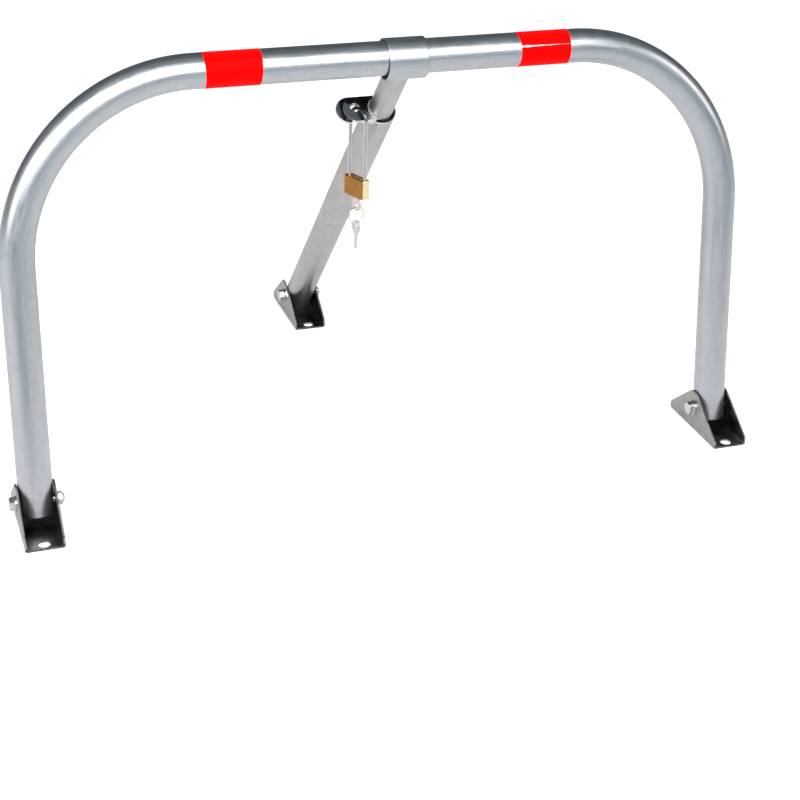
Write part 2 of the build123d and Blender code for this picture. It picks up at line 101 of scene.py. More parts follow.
# ---------------------------------------------------------------- materials
# The limits between which most noise is stretched to a full range, and a tighter pair.
WIDE, TIGHT = (0.3, 0.7), (0.35, 0.65)
EVEN = (1.0, 1.0, 1.0)
# Two near-black colours of painted shade and dark reflection.
SHADE_BLACKS = ((0.09, 0.078, 0.076), (0.2, 0.183, 0.178))


class Nodes:
    """Short calls that add shader nodes to a tree."""

    def __init__(self, tree):
        self.tree = tree

    def add(self, kind, inputs=None, **settings):
        node = self.tree.nodes.new("ShaderNode" + kind)
        for key, value in settings.items():
            setattr(node, key, value)
        for key, value in (inputs or {}).items():
            if isinstance(value, bpy.types.NodeSocket):
                self.tree.links.new(value, node.inputs[key])
            else:
                node.inputs[key].default_value = value
        return node

    def coords(self, output, axis):
        """One coordinate of a texture coordinate output, such as Object or Normal."""
        return self.add("SeparateXYZ", {0: self.add("TexCoord").outputs[output]}).outputs[axis]

    def math(self, operation, *values):
        return self.add("Math", dict(enumerate(values)), operation=operation).outputs[0]

    def vector(self, operation, first, second, output="Value"):
        return self.add("VectorMath", {0: first, 1: second}, operation=operation).outputs[output]

    def span(self, value, low, high, start=0.0, end=1.0):
        """A value between low and high, stretched to start and end and held there."""
        inputs = {"Value": value, "From Min": low, "From Max": high, "To Min": start, "To Max": end}
        return self.add("MapRange", inputs, clamp=True).outputs["Result"]

    def mix(self, factor, first, second):
        """Blend of two colours. Inputs 0, 6 and 7 are the factor and the colours."""
        return self.add("Mix", {0: factor, 6: first, 7: second}, data_type="RGBA").outputs[2]


class Shade(Nodes):
    """A Principled material and the nodes that feed it."""

    def __init__(self, name, **sockets):
        self.material = bpy.data.materials.new(name)
        self.material.use_nodes = True
        super().__init__(self.material.node_tree)
        self.surface = self.tree.nodes["Principled BSDF"]
        for socket, value in sockets.items():
            self.surface.inputs[socket.replace("_", " ")].default_value = value

    def place(self, stretch, use_uv=False):
        coords = self.add("TexCoord").outputs["UV" if use_uv else "Object"]
        return self.add("Mapping", {"Vector": coords, "Scale": stretch}).outputs["Vector"]

    def noise(self, stretch, scale, detail=4.0, rough=0.55, use_uv=False):
        where = self.place(stretch, use_uv)
        inputs = {"Vector": where, "Scale": scale, "Detail": detail, "Roughness": rough}
        return self.add("TexNoise", inputs).outputs["Fac"]

    def cells(self, scale, use_uv=False, **settings):
        inputs = {"Vector": self.place(EVEN, use_uv), "Scale": scale}
        return self.add("TexVoronoi", inputs, **settings).outputs["Distance"]

    def feed(self, socket, value):
        self.tree.links.new(value, self.surface.inputs[socket])

    def bump(self, height, distance, strength=1.0):
        inputs = {"Height": height, "Distance": distance, "Strength": strength}
        below = self.surface.inputs["Normal"].links
        if below:
            inputs["Normal"] = below[0].from_socket
        self.feed("Normal", self.add("Bump", inputs).outputs["Normal"])


def rgb(r, g, b):
    """Opaque colour."""
    return (r, g, b, 1.0)


def drawn_metal(name, dark, light, roughness, stretch=EVEN, use_uv=False, grain=900.0, spread=0.1,
                blotch=55.0, relief=0.02, cut=None, inside=None, scale=SHADE_BLACKS):
    """Metal with fine drawn lines, cloudy patches and a slightly uneven gloss.

    grain and blotch are the noise scales of the lines and the patches, relief is the lines'
    depth in millimetres. cut is a direction, the shares of a second colour on faces that lie
    along it and square to it, and that colour: a highlight painted by how faces lie.
    inside(shade) is a mask of the places painted with shade and dark reflection in the two
    scale colours.
    """
    specks_scale, cloud_dimming = 2400.0, 0.86
    shade = Shade(name, Metallic=1.0)
    lines = shade.noise(stretch, grain, 5.0, 0.6, use_uv)
    clouds = shade.noise(EVEN, blotch, 3.0, 0.5, use_uv)
    specks = shade.noise(EVEN, specks_scale, 2.0, 0.5, use_uv)
    colour = shade.mix(shade.span(lines, *WIDE), rgb(*dark), rgb(*light))
    cloudy = rgb(*[(a + b) / 2 * cloud_dimming for a, b in zip(dark, light)])
    colour = shade.mix(shade.span(clouds, 0.42, 0.72, 0.0, 0.55), colour, cloudy)
    # Painted shade and dark reflection in the masked places.
    if inside:
        shaded_colour = shade.mix(shade.span(clouds, *WIDE), rgb(*scale[0]), rgb(*scale[1]))
        colour = shade.mix(inside(shade), colour, shaded_colour)
    # Painted highlight: a lighter colour on faces by how they lie to a direction.
    if cut:
        direction, (along, square), second = cut
        facing = shade.vector("DOT_PRODUCT", shade.add("TexCoord").outputs["Normal"], direction)
        squareness = shade.math("ABSOLUTE", facing)
        colour = shade.mix(shade.span(squareness, 0.25, 0.7, along, square), colour, rgb(*second))
    shade.feed("Base Color", colour)
    line_gloss = shade.span(lines, *WIDE, -spread, spread)
    cloud_gloss = shade.span(clouds, 0.35, 0.7, roughness - spread / 2, roughness + spread)
    shade.feed("Roughness", shade.math("ADD", line_gloss, cloud_gloss))
    shade.bump(lines, relief * MM, 0.8)
    shade.bump(specks, relief * 0.6 * MM, 0.5)
    return shade.material


def shaded_raw_ends(shade):
    """Mask of the sawn ends of a tube that lies along X, where shade is painted."""
    return shade.span(shade.math("ABSOLUTE", shade.coords("Normal", "X")), 0.5, 0.8)


def painted_dark_end(node, direction, start, end):
    """Mask of a node's painted shade and dark reflection, which sets in between two distances
    along direction from the node's middle."""

    def mask(shade):
        place = shade.add("TexCoord").outputs["Object"]
        offset = shade.vector("SUBTRACT", place, middle(node), "Vector")
        ragged = shade.span(shade.noise(EVEN, 260.0, 4.0), *WIDE, -1.2 * MM, 1.2 * MM)
        reach = shade.math("ADD", shade.vector("DOT_PRODUCT", offset, direction), ragged)
        return shade.span(reach, start, end)

    return mask


def shaded_inner_faces(centre_x):
    """Mask of a bracket's base and of the inner faces of its cheeks, where shade and dark reflection are
    painted.
    """

    def mask(shade):
        offset = shade.math("SUBTRACT", shade.coords("Object", "X"), centre_x)
        facing = shade.coords("Normal", "X")
        cheek = shade.span(shade.math("MULTIPLY", offset, facing), -12 * MM, -4 * MM, 1.0, 0.0)
        level = shade.span(shade.math("ABSOLUTE", facing), *WIDE, 1.0, 0.0)
        low_down = shade.span(shade.coords("Object", "Z"), 3.0 * MM, 5.0 * MM, 1.0, 0.0)
        return shade.math("MAXIMUM", cheek, shade.math("MULTIPLY", level, low_down))

    return mask


def ear_material(node, direction, start, end):
    """Bluish zinc plate. Its sides are bare sheared steel, lighter still by a painted highlight; painted
    shadow and dark reflection cover the masked part.
    """
    return drawn_metal("zinc_" + node, (0.30, 0.31, 0.345), (0.42, 0.43, 0.47), 0.2, (0.15, 1.0, 1.0),
                       grain=480.0, spread=0.05, blotch=80.0, relief=0.006,
                       cut=(STRUT_AXIS, (1.0, 0.0), (0.80, 0.80, 0.79)),
                       inside=painted_dark_end(node, direction, start, end),
                       scale=((0.012, 0.011, 0.011), (0.04, 0.036, 0.034)))


def bracket_material(node):
    """Satin zinc outside, with painted shade and dark reflection on the base and the inner faces of the
    cheeks.
    """
    return drawn_metal("zinc_" + node, (0.33, 0.33, 0.32), (0.43, 0.43, 0.415), 0.3, (1.0, 1.0, 0.12),
                       grain=420.0, spread=0.06, blotch=60.0, relief=0.008,
                       inside=shaded_inner_faces(middle(node).x))


def weld_material():
    """Bead metal: dull zinc over ripples, with small dark pores."""
    shade = Shade("weld_metal", Metallic=0.9)
    cloud = shade.noise(EVEN, 420.0, 5.0, 0.6)
    pores = shade.span(shade.cells(900.0), 0.0, 0.2, 0.7, 0.0)
    colour = shade.mix(shade.span(cloud, *TIGHT), rgb(0.46, 0.46, 0.46), rgb(0.70, 0.70, 0.69))
    shade.feed("Base Color", shade.mix(pores, colour, rgb(0.12, 0.11, 0.1)))
    shade.feed("Roughness", shade.span(cloud, *WIDE, 0.28, 0.5))
    shade.bump(cloud, 0.12 * MM)
    return shade.material


def tape_material():
    """Red film: saturated colour, faint crosswise wrinkles, a fine weave, and dust."""
    shade = Shade("red_tape", Metallic=0.0)
    shade.surface.inputs["Specular IOR Level"].default_value = 0.02
    wrinkles = shade.noise((1.0, 0.18, 1.0), 160.0, 3.0, 0.5, True)
    weave = shade.cells(900.0, True, feature="DISTANCE_TO_EDGE")
    dust = shade.noise(EVEN, 500.0, 6.0, 0.7, True)
    colour = shade.mix(shade.span(wrinkles, *TIGHT), rgb(0.88, 0.0, 0.0), rgb(0.98, 0.0, 0.0))
    colour = shade.mix(shade.span(weave, 0.0, 0.06, 0.22, 0.0), colour, rgb(0.62, 0.0, 0.0))
    colour = shade.mix(shade.span(dust, 0.66, 0.8, 0.0, 0.2), colour, rgb(1.0, 0.012, 0.01))
    shade.feed("Base Color", colour)
    shade.feed("Roughness", shade.span(dust, *WIDE, 0.42, 0.58))
    shade.bump(wrinkles, 0.05 * MM)
    shade.bump(weave, 0.01 * MM)
    return shade.material


def nylon_material():
    """Translucent nylon insert of a locking nut."""
    shade = Shade("nylon_insert", Metallic=0.0, Subsurface_Weight=0.2)
    cloud = shade.noise(EVEN, 700.0, 3.0)
    shade.feed("Base Color", shade.mix(cloud, rgb(0.72, 0.76, 0.82), rgb(0.86, 0.88, 0.9)))
    shade.feed("Roughness", shade.span(cloud, *WIDE, 0.35, 0.5))
    shade.bump(cloud, 0.02 * MM)
    return shade.material


galvanised = drawn_metal(
    "galvanised_tube", (0.465, 0.483, 0.505), (0.565, 0.583, 0.605), 0.33, (1.0, 0.035, 1.0),
    use_uv=True, grain=700.0, spread=0.05, blotch=110.0, relief=0.012)
strut_zinc = drawn_metal(
    "galvanised_strut", (0.43, 0.43, 0.415), (0.60, 0.60, 0.585), 0.38, (1.0, 0.045, 1.0),
    use_uv=True, grain=700.0, spread=0.06, blotch=40.0, relief=0.014)
# The collar's sawn ends take painted shade.
collar_zinc = drawn_metal(
    "galvanised_collar", (0.46, 0.475, 0.495), (0.56, 0.575, 0.595), 0.34, (1.0, 0.035, 1.0),
    use_uv=True, grain=700.0, spread=0.05, blotch=34.0, relief=0.012, inside=shaded_raw_ends)
fastener_zinc = drawn_metal(
    "fastener_zinc", (0.62, 0.62, 0.58), (0.82, 0.81, 0.77), 0.22,
    spread=0.06, blotch=160.0, relief=0.006)
# Painted highlight on the ears' rounded edges.
edge_highlight_zinc = drawn_metal(
    "painted_edge_highlight", (0.44, 0.44, 0.43), (0.62, 0.62, 0.61), 0.3,
    grain=1300.0, spread=0.08, blotch=260.0, relief=0.01)
CHROME = {"dark": (0.56, 0.53, 0.54), "light": (0.72, 0.685, 0.695), "roughness": 0.05,
          "stretch": (1.0, 1.0, 0.06), "grain": 1500.0, "spread": 0.04, "blotch": 120.0, "relief": 0.003}
chrome = drawn_metal("chrome", **CHROME)
# The shackle's crown takes a painted dark reflection.
shackle_chrome = drawn_metal(
    "shackle_steel", **CHROME, scale=((0.07, 0.07, 0.075), (0.15, 0.145, 0.15)),
    inside=painted_dark_end("padlock_shackle", Z, CROWN - 13 * MM, CROWN - 9 * MM))
key_nickel = drawn_metal(
    "key_nickel", (0.62, 0.59, 0.54), (0.80, 0.77, 0.72), 0.24, (1.0, 1.0, 0.08),
    grain=1900.0, spread=0.06, blotch=260.0, relief=0.004)
spring_wire = drawn_metal("spring_wire", (0.5, 0.5, 0.5), (0.7, 0.7, 0.7), 0.3, grain=2500.0)
pin_brass = drawn_metal("pin_brass", (0.62, 0.42, 0.14), (0.74, 0.52, 0.2), 0.3, grain=2200.0)
# The case's narrow ends take a pale painted highlight.
case_brass = drawn_metal(
    "case_brass", (0.33, 0.155, 0.03), (0.47, 0.24, 0.055), 0.27, (0.05, 0.05, 1.0),
    grain=1500.0, spread=0.07, blotch=150.0, relief=0.005, cut=(CASE_END, (0.0, 1.0), (1.0, 0.87, 0.55)))
weld_metal, red_tape, nylon = weld_material(), tape_material(), nylon_material()


# ---------------------------------------------------------------- mesh helpers
def new_piece(name, bm, material, body, *replaced, slot=None, sharp=radians(32)):
    """Finish a bmesh as a shaded piece that rides on a body."""
    bmesh.ops.recalc_face_normals(bm, faces=bm.faces)
    for face in bm.faces:
        face.smooth = True
    for edge in bm.edges:
        if len(edge.link_faces) == 2 and edge.calc_face_angle(0) > sharp:
            edge.smooth = False
    mesh = bpy.data.meshes.new(name)
    bm.to_mesh(mesh)
    bm.free()
    mesh.materials.append(material)
    piece = bpy.data.objects.new(name, mesh)
    bpy.context.scene.collection.objects.link(piece)
    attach(piece, body)
    if replaced:
        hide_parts(*replaced)
    return piece


def ring_of(bm, centre, side, up, radius, segments, shift=None):
    """One ring of vertices; radius and shift may be numbers or functions of the angle."""
    along, ring = side.cross(up), []
    for j in range(segments):
        angle = tau * j / segments
        here = radius(angle) if callable(radius) else radius
        move = shift(angle) if callable(shift) else (shift or 0.0)
        ring.append(bm.verts.new(centre + (side * cos(angle) + up * sin(angle)) * here + along * move))
    return ring


def bridge(bm, rings, lengths, around, loop_back=False):
    """Quads between successive rings, with UV in metres: round the ring, then along it."""
    layer = bm.loops.layers.uv.verify()
    count, rows = len(rings[0]), len(rings)
    for i in range(rows if loop_back else rows - 1):
        k = (i + 1) % rows
        for j in range(count):
            corners = ((i, j), (i, j + 1), (k, j + 1), (k, j))
            face = bm.faces.new([rings[a][b % count] for a, b in corners])
            for loop, (a, b) in zip(face.loops, corners):
                loop[layer].uv = (b / count * around, lengths[a])


def swept_tube(frames, outer, wall, segments=96, cope=None, rim=0.35 * MM):
    """Hollow tube through frames of (centre, side, up, distance along), its rims rounded off.
    cope(angle, radius) pulls the last ring along the tube for a shaped end."""
    bm = bmesh.new()
    first, last, between = frames[0], frames[-1], frames[1:-1]
    inner = outer - wall
    rings, lengths = [], []

    def add(frame_, radius, shift, coped):
        centre, side, up, distance = frame_
        move = (lambda angle: shift + cope(angle, radius)) if coped and cope else shift
        rings.append(ring_of(bm, centre, side, up, radius, segments, move))
        lengths.append(distance + shift)

    steps = 3
    quarter = [pi / 2 * t / steps for t in range(steps + 1)]
    turn = [(1 - cos(angle), 1 - sin(angle)) for angle in quarter]
    for drop, back in turn[::-1]:
        add(first, outer - rim * drop, rim * back, False)
    for frame_ in between:
        add(frame_, outer, 0.0, False)
    for drop, back in turn:
        add(last, outer - rim * drop, -rim * back, True)
    for drop, back in turn[::-1]:
        add(last, inner + rim * drop, -rim * back, True)
    for frame_ in reversed(between):
        add(frame_, inner, 0.0, False)
    for drop, back in turn:
        add(first, inner + rim * drop, rim * back, False)
    bridge(bm, rings, lengths, tau * outer, loop_back=True)
    return bm


def straight(start, end, side, up, step=5 * MM):
    """Frames along a straight line."""
    length = (end - start).length
    count = max(2, round(length / step))
    return [(start.lerp(end, i / count), side, up, length * i / count) for i in range(count + 1)]


def turned(plane, stations, segments=72, bored=False):
    """Solid round an axis: stations of (height, radius), radius a number or function. A bored
    one is a closed ring, whose stations run once round its section."""
    origin, side, up = plane
    bm, along = bmesh.new(), side.cross(up)
    rings = [ring_of(bm, origin + along * z, side, up, r, segments) for z, r in stations]
    bridge(bm, rings, [z for z, _ in stations], tau * BOLT_R, bored)
    if not bored:
        bm.faces.new(rings[0])
        bm.faces.new(rings[-1])
    return bm


def merge(target, other):
    """Move the contents of one bmesh into another."""
    mesh = bpy.data.meshes.new("scratch")
    other.to_mesh(mesh)
    other.free()
    target.from_mesh(mesh)
    bpy.data.meshes.remove(mesh)
    return target


def rope(points, radius, segments=12, size=None):
    """Round bead or wire along open points; size(i) scales its radius there."""
    bm, rings, side, lengths, run = bmesh.new(), [], None, [], 0.0
    last = len(points) - 1
    for i, point in enumerate(points):
        along = (points[min(i + 1, last)] - points[max(i - 1, 0)]).normalized()
        side = side or along.orthogonal()
        side = (side - along * side.dot(along)).normalized()
        run += (point - points[i - 1]).length if i else 0.0
        lengths.append(run)
        here = radius * (size(i) if size else 1.0)
        rings.append(ring_of(bm, point, side, along.cross(side), here, segments))
    bridge(bm, rings, lengths, tau * radius)
    bm.faces.new(rings[0])
    bm.faces.new(rings[-1])
    return bm


def cross_drill(piece, centres, radius):
    """Bore round holes along X through a tube, and keep the result as its mesh."""
    bm = bmesh.new()
    for centre in centres:
        merge(bm, turned((centre - X * 2 * TUBE_R, Y, Z), [(0, radius), (4 * TUBE_R, radius)], 48))
    mesh = bpy.data.meshes.new("drill")
    bmesh.ops.recalc_face_normals(bm, faces=bm.faces)
    bm.to_mesh(mesh)
    bm.free()
    drill = bpy.data.objects.new("drill", mesh)
    bpy.context.scene.collection.objects.link(drill)
    cut = piece.modifiers.new("bore", "BOOLEAN")
    cut.operation, cut.solver, cut.object = "DIFFERENCE", "EXACT", drill
    bpy.context.view_layer.update()
    result = bpy.data.meshes.new_from_object(piece.evaluated_get(bpy.context.evaluated_depsgraph_get()))
    piece.modifiers.clear()
    piece.data = result
    bpy.data.objects.remove(drill)


# ---------------------------------------------------------------- tubes
def hoop_frames():
    """Frames up the left leg, round both bends and down the right leg."""
    straight_leg, flat = LEG_LENGTH - BEND_R, HALF_SPAN - BEND_R
    steps, turn_steps = 24, 48
    plan = []
    for i in range(steps + 1):
        v = -HOOP_BELOW_PIVOT + (straight_leg + HOOP_BELOW_PIVOT) * i / steps
        plan.append((-HALF_SPAN, v, pi / 2))
    for i in range(1, turn_steps + 1):
        angle = pi / 2 * i / turn_steps
        x, v = -HALF_SPAN + BEND_R * (1 - cos(angle)), straight_leg + BEND_R * sin(angle)
        plan.append((x, v, pi / 2 - angle))
    for i in range(1, steps + 1):
        plan.append((-flat + flat * i / steps, LEG_LENGTH, 0.0))
    plan += [(-x, v, -heading) for x, v, heading in plan[-2::-1]]
    frames, run, before = [], 0.0, None
    for x, v, heading in plan:
        centre = HOOP_PIVOT + X * x + LEG_UP * v
        along = X * cos(heading) + LEG_UP * sin(heading)
        run += (centre - before).length if before else 0.0
        before = centre
        frames.append((centre, HOOP_FRONT, along.cross(HOOP_FRONT), run))
    return frames


def strut_frames(start, end):
    """Frames between two distances along the strut from its foot's pivot."""
    return straight(STRUT_FOOT + STRUT_AXIS * start, STRUT_FOOT + STRUT_AXIS * end, X, STRUT_BACK)


def cope(angle, radius):
    """How far below the collar's centre the inner tube meets the collar at this angle."""
    return -sqrt(COLLAR_R**2 - (radius * sin(angle)) ** 2)


hoop = new_piece("hoop", swept_tube(hoop_frames(), TUBE_R, WALL), galvanised, "hoop", "hoop_tube",
                 slot="galvanised_tube")
cross_drill(hoop, [HOOP_PIVOT + X * s * HALF_SPAN for s in (-1, 1)], BORE_R)

outer = new_piece("outer_tube", swept_tube(strut_frames(-OUTER_BELOW_PIVOT, OUTER_MOUTH), OUTER_R, WALL),
                  strut_zinc, "outer_strut", "outer_strut_tube", slot="galvanised_tube")
cross_drill(outer, [STRUT_FOOT], BORE_R)

# The frames inside the collar are left out; one in its centre carries the coped end.
FRAMES_IN_COLLAR = 7
inner_frames = strut_frames(INNER_START, COLLAR_ALONG)[:-FRAMES_IN_COLLAR]
inner_frames.append((COLLAR_CENTRE, X, STRUT_BACK, COLLAR_ALONG))
new_piece("inner_tube", swept_tube(inner_frames, INNER_R, WALL, cope=cope, rim=0.1 * MM),
          strut_zinc, "inner_strut", "inner_strut_tube", slot="galvanised_tube")

collar_frames = straight(COLLAR_CENTRE - X * COLLAR_HALF, COLLAR_CENTRE + X * COLLAR_HALF, Y, Z, 3 * MM)
new_piece("collar", swept_tube(collar_frames, COLLAR_R, WALL, rim=0.3 * MM),
          collar_zinc, "inner_strut", "bar_collar", slot="galvanised_tube")


# ---------------------------------------------------------------- reflective tape
FILM_LIFT = 0.03 * MM
END_WAVE, END_LIMIT = 0.45 * MM, 0.9 * MM


def tape(node, seam, gap_start, gap_end, trim, seed):
    """Wrapped film with wavy ends. Its seam lies at an angle above the front and opens ragged
    towards the start, which is trimmed."""
    low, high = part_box(node)
    centre_y, centre_z = (low.y + high.y) / 2, (low.z + high.z) / 2
    base, top = TUBE_R + FILM_LIFT, (high.z - low.z) / 2
    around, along = 120, 80
    bm = bmesh.new()
    layer = bm.loops.layers.uv.verify()

    def point(i, j, radius):
        t, s = i / around, j / along
        gap = gap_end + (gap_start - gap_end) * (1 - s) ** 2
        coarse, fine = noise.noise(Vector((s * 7, seed, 0))), noise.noise(Vector((s * 23, seed, 4)))
        gap *= 1 + 0.5 * coarse + 0.35 * fine
        turn = seam + (gap / 2 + t * (tau * TUBE_R - gap)) / TUBE_R
        wave = sin(turn * 2 + seed) + noise.noise(Vector((cos(turn) * 2, sin(turn) * 2, seed)))
        end_wave = END_WAVE * wave * ((1 - s) ** 6 - s**6)
        x = low.x + (high.x - low.x) * s + trim * (1 - s) ** 6 + end_wave
        x = min(max(x, low.x - END_LIMIT), high.x + END_LIMIT)
        return Vector((x, centre_y - radius * cos(turn), centre_z + radius * sin(turn)))

    def grid_at(radius):
        return [[bm.verts.new(point(i, j, radius)) for j in range(along + 1)] for i in range(around + 1)]

    top_grid, base_grid = grid_at(top), grid_at(base)
    for grid in (top_grid, base_grid):
        for i in range(around):
            for j in range(along):
                corners = ((i, j), (i, j + 1), (i + 1, j + 1), (i + 1, j))
                face = bm.faces.new([grid[a][b] for a, b in corners])
                for loop, (a, b) in zip(face.loops, corners):
                    loop[layer].uv = (a / around * tau * TUBE_R, b / along * (high.x - low.x))
    for j in range(along):
        for i in (0, around):
            bm.faces.new([top_grid[i][j], top_grid[i][j + 1], base_grid[i][j + 1], base_grid[i][j]])
    for i in range(around):
        for j in (0, along):
            bm.faces.new([top_grid[i][j], top_grid[i + 1][j], base_grid[i + 1][j], base_grid[i][j]])
    return bm


new_piece("tape_left", tape("reflective_band_left", radians(205), 0.12 * MM, 0.08 * MM, 0.0, 3.1),
          red_tape, "hoop", "reflective_band_left", slot="red_reflective")
new_piece("tape_right", tape("reflective_band_right", radians(25), 1.9 * MM, 0.3 * MM, 1.0 * MM, 7.7),
          red_tape, "hoop", "reflective_band_right", slot="red_reflective")


# ---------------------------------------------------------------- pivot hardware
CORNER, ROUNDED_CORNER = 1.155, 1.135


def hexagon(angle):
    """Radius of a hexagon's side at an angle, its corners a touch rounded."""
    offset = (angle % radians(60)) - radians(30)
    return min(HEX_HALF / cos(offset), HEX_HALF * ROUNDED_CORNER)


def hex_stations(height, foot=True):
    """Stations of a hexagon whose corners are turned off at the top and, with foot, below."""
    slope = 0.5
    stations = []
    below = [0.0, 0.25 * MM, 0.5 * MM, 0.75 * MM]
    above = [height - 0.9 * MM, height - 0.6 * MM, height - 0.3 * MM, height]
    for z in below + above:
        limit = HEX_HALF * CORNER
        if foot:
            limit = min(limit, HEX_HALF * 0.97 + z / slope)
        limit = min(limit, HEX_HALF * 0.95 + (height - z) / slope)
        stations.append((z, lambda angle, limit=limit: min(hexagon(angle), limit)))
    return stations


def threaded(plane, start, end):
    """Solid rod with a rolled metric thread, its tip turned down."""
    steps, tip_length = 8, 1.0 * MM
    count = int((end - start) / THREAD_PITCH * steps)
    stations = []
    for i in range(count + 1):
        z = start + (end - start) * i / count
        tip = max(0.0, tip_length - (end - z))

        def radius(angle, z=z, tip=tip):
            phase = (z / THREAD_PITCH - angle / tau) % 1.0
            return min(BOLT_R - THREAD_DEPTH * (1 - abs(2 * phase - 1)), BOLT_R - tip)

        stations.append((z, radius))
    return turned(plane, stations, 48)


def head_stations():
    """Bolt head with a shallow dish in its top."""
    dish = [(HEAD_HEIGHT, 0.93 * HEX_HALF), (HEAD_HEIGHT - 0.12 * MM, 0.80 * HEX_HALF),
            (HEAD_HEIGHT - 0.2 * MM, 0.4 * HEX_HALF)]
    return [(0.0, 0.8 * HEX_HALF)] + hex_stations(HEAD_HEIGHT, foot=False) + dish


def nut_stations():
    """Hexagon, thin collar and bore of a locking nut."""
    top = NUT_HEIGHT + NUT_COLLAR_HEIGHT
    inside = NUT_COLLAR_R - 0.7 * MM
    collar = [(NUT_HEIGHT, NUT_COLLAR_R), (top - 0.5 * MM, NUT_COLLAR_R),
              (top - 0.12 * MM, NUT_COLLAR_R - 0.2 * MM), (top, NUT_COLLAR_R - 0.5 * MM),
              (top - 0.3 * MM, inside), (NUT_HEIGHT, inside)]
    return hex_stations(NUT_HEIGHT) + collar + [(NUT_HEIGHT, BORE_R), (0.0, BORE_R)]


def insert_stations():
    """Nylon ring in a nut's collar."""
    top = NUT_HEIGHT + NUT_COLLAR_HEIGHT
    low, lip = NUT_HEIGHT + 0.02 * MM, NUT_COLLAR_R - 0.75 * MM
    return [(low, lip), (top - 0.45 * MM, lip), (top - 0.35 * MM, lip - 0.3 * MM),
            (top - 0.35 * MM, BORE_R + 0.15 * MM), (top - 0.5 * MM, BORE_R), (low, BORE_R)]


def washer_stations():
    """Flat washer with soft stamped edges, from the face it lies on outwards."""
    soft, t = 0.18 * MM, WASHER_THICKNESS
    return [(0, WASHER_HOLE_R), (0, WASHER_R - soft), (soft, WASHER_R), (t - soft, WASHER_R),
            (t, WASHER_R - soft * 1.5), (t, WASHER_HOLE_R + soft), (t - soft, WASHER_HOLE_R)]


def pivot_hardware():
    """Bolts, locking nuts and washers of the three pivots."""
    bolts, nuts, inserts, washers = bmesh.new(), bmesh.new(), bmesh.new(), bmesh.new()
    first_roll, next_roll, nut_roll = 0.35, 0.8, 0.4
    run_in = 1 * MM
    for turn, (node, y) in enumerate(FEET.items()):
        low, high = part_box(node)
        half = (high.x - low.x) / 2
        pivot = Vector(((low.x + high.x) / 2, y, HOOP_PIVOT.z))
        grip = 2 * (half + WASHER_THICKNESS)
        roll = first_roll + turn * next_roll
        side = Y * cos(roll) + Z * sin(roll)
        up = X.cross(side)
        head = pivot - X * (half + WASHER_THICKNESS)
        end = grip + NUT_HEIGHT + NUT_COLLAR_HEIGHT + THREAD_END
        merge(bolts, turned((head, side, -up), head_stations(), 96))
        merge(bolts, turned((head, side, up), [(0, BOLT_R), (grip - run_in, BOLT_R)], 48))
        merge(bolts, threaded((head, side, up), grip - run_in, end))
        roll += nut_roll
        side = Y * cos(roll) + Z * sin(roll)
        seat = (pivot + X * (half + WASHER_THICKNESS), side, X.cross(side))
        merge(nuts, turned(seat, nut_stations(), 96, bored=True))
        merge(inserts, turned(seat, insert_stations(), bored=True))
        for direction in (-1, 1):
            face = (pivot + X * direction * half, Y, Z)
            outward = [(direction * z, r) for z, r in washer_stations()]
            merge(washers, turned(face, outward, bored=True))
    return bolts, nuts, inserts, washers


bolts, nuts, inserts, washers = pivot_hardware()
new_piece("bolts", bolts, fastener_zinc, "base", "pivot_bolts", slot="fastener")
new_piece("nuts", nuts, fastener_zinc, "base", "pivot_nuts", slot="fastener")
new_piece("nut_inserts", inserts, nylon, "base", slot="fastener")
new_piece("washers", washers, fastener_zinc, "base", "pivot_washers", slot="fastener")


# ---------------------------------------------------------------- weld beads
SADDLE_BEAD_R, EAR_BEAD_R = 1.5 * MM, 1.1 * MM


def bead(name, points, radius, body, node, pitch=2.2 * MM):
    """Bead of overlapping ripples along points."""
    run = 0.0
    sizes = []
    for i, point in enumerate(points):
        run += (point - points[i - 1]).length if i else 0.0
        ripple = abs(sin(pi * run / pitch)) ** 0.6
        wander = noise.noise(point * 160)
        ends = min(1.0, 0.35 + i / 6, 0.35 + (len(points) - 1 - i) / 6)
        sizes.append((0.80 + 0.2 * ripple + 0.14 * wander) * ends)
    return new_piece(name, rope(points, radius, 14, lambda i: sizes[i]), weld_metal, body, node,
                     slot="weld", sharp=radians(70))


def round_strut(angle, radius):
    """Offset from the strut's axis at an angle from +X."""
    return (X * cos(angle) + STRUT_BACK * sin(angle)) * radius


def saddle():
    """Points round the inner tube's coped end, on the collar."""
    steps, radius, lift = 360, INNER_R + 0.7 * MM, 0.5 * MM
    points = []
    for i in range(steps + 1):
        angle = tau * i / steps
        down = sqrt((COLLAR_R + lift) ** 2 - (radius * sin(angle)) ** 2)
        points.append(COLLAR_CENTRE - STRUT_AXIS * down + round_strut(angle, radius))
    return points


def arc_round(node, tube_r):
    """Points round the tube's -X side at the height of a CAD weld node."""
    steps, spread, outward = 80, radians(58), 0.6 * MM
    height = (middle(node) - STRUT_FOOT).dot(STRUT_AXIS)
    points = []
    for i in range(steps + 1):
        angle = pi - spread + 2 * spread * i / steps
        points.append(STRUT_FOOT + STRUT_AXIS * height + round_strut(angle, tube_r + outward))
    return points


bead("collar_bead", saddle(), SADDLE_BEAD_R, "inner_strut", "collar_weld")
bead("upper_ear_bead", arc_round("upper_ear_weld", INNER_R), EAR_BEAD_R, "inner_strut", "upper_ear_weld")
bead("lower_ear_bead", arc_round("lower_ear_weld", OUTER_R), EAR_BEAD_R, "outer_strut", "lower_ear_weld")


